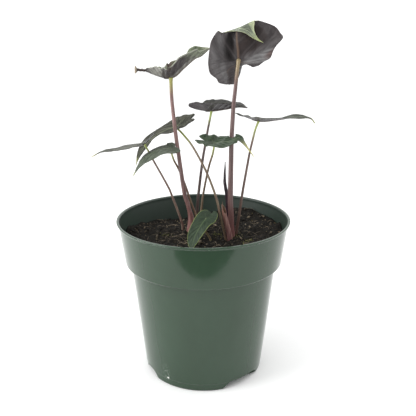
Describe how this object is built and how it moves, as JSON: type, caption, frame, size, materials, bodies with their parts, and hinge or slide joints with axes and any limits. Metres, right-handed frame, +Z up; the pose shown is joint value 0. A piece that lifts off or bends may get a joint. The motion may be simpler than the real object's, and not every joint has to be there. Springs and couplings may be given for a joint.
{
  "type": "potted dragon tooth alocasia",
  "caption": "Young aroid house plant with arrow-shaped leaves on slim stalks, rooted in peat in a ribbed-collar plastic nursery pot.",
  "frame": {"origin": "on the pot's axis, on the surface that the pot stands on", "axes": "+Z up along the pot's axis, -Y towards the front of the plant, +X to its right as seen from the front"},
  "size_m": [0.1973, 0.156, 0.3144],
  "materials": {
    "pot": "satin",
    "soil": "matte",
    "leaf_purple": "satin",
    "leaf_green": "satin",
    "stalk": "satin",
    "spike": "satin",
    "sheath": "satin"
  },
  "bodies": {
    "root": {"pot": "pot", "soil": "soil", "folded_leaf_blade": "leaf_purple", "folded_leaf_stalk": "stalk", "curled_leaf_blade": "leaf_purple", "curled_leaf_stalk": "stalk", "back_leaf_blade": "leaf_purple", "back_leaf_stalk": "stalk", "right_leaf_blade": "leaf_purple", "right_leaf_stalk": "stalk", "far_left_leaf_blade": "leaf_purple", "far_left_leaf_stalk": "stalk", "left_leaf_blade": "leaf_green", "left_leaf_stalk": "stalk", "low_left_leaf_blade": "leaf_green", "low_left_leaf_stalk": "stalk", "centre_leaf_blade": "leaf_green", "centre_leaf_stalk": "stalk", "small_leaf_blade": "leaf_green", "small_leaf_stalk": "stalk", "new_leaf_spike": "spike", "old_sheath": "sheath"}
  },
  "joints": []
}
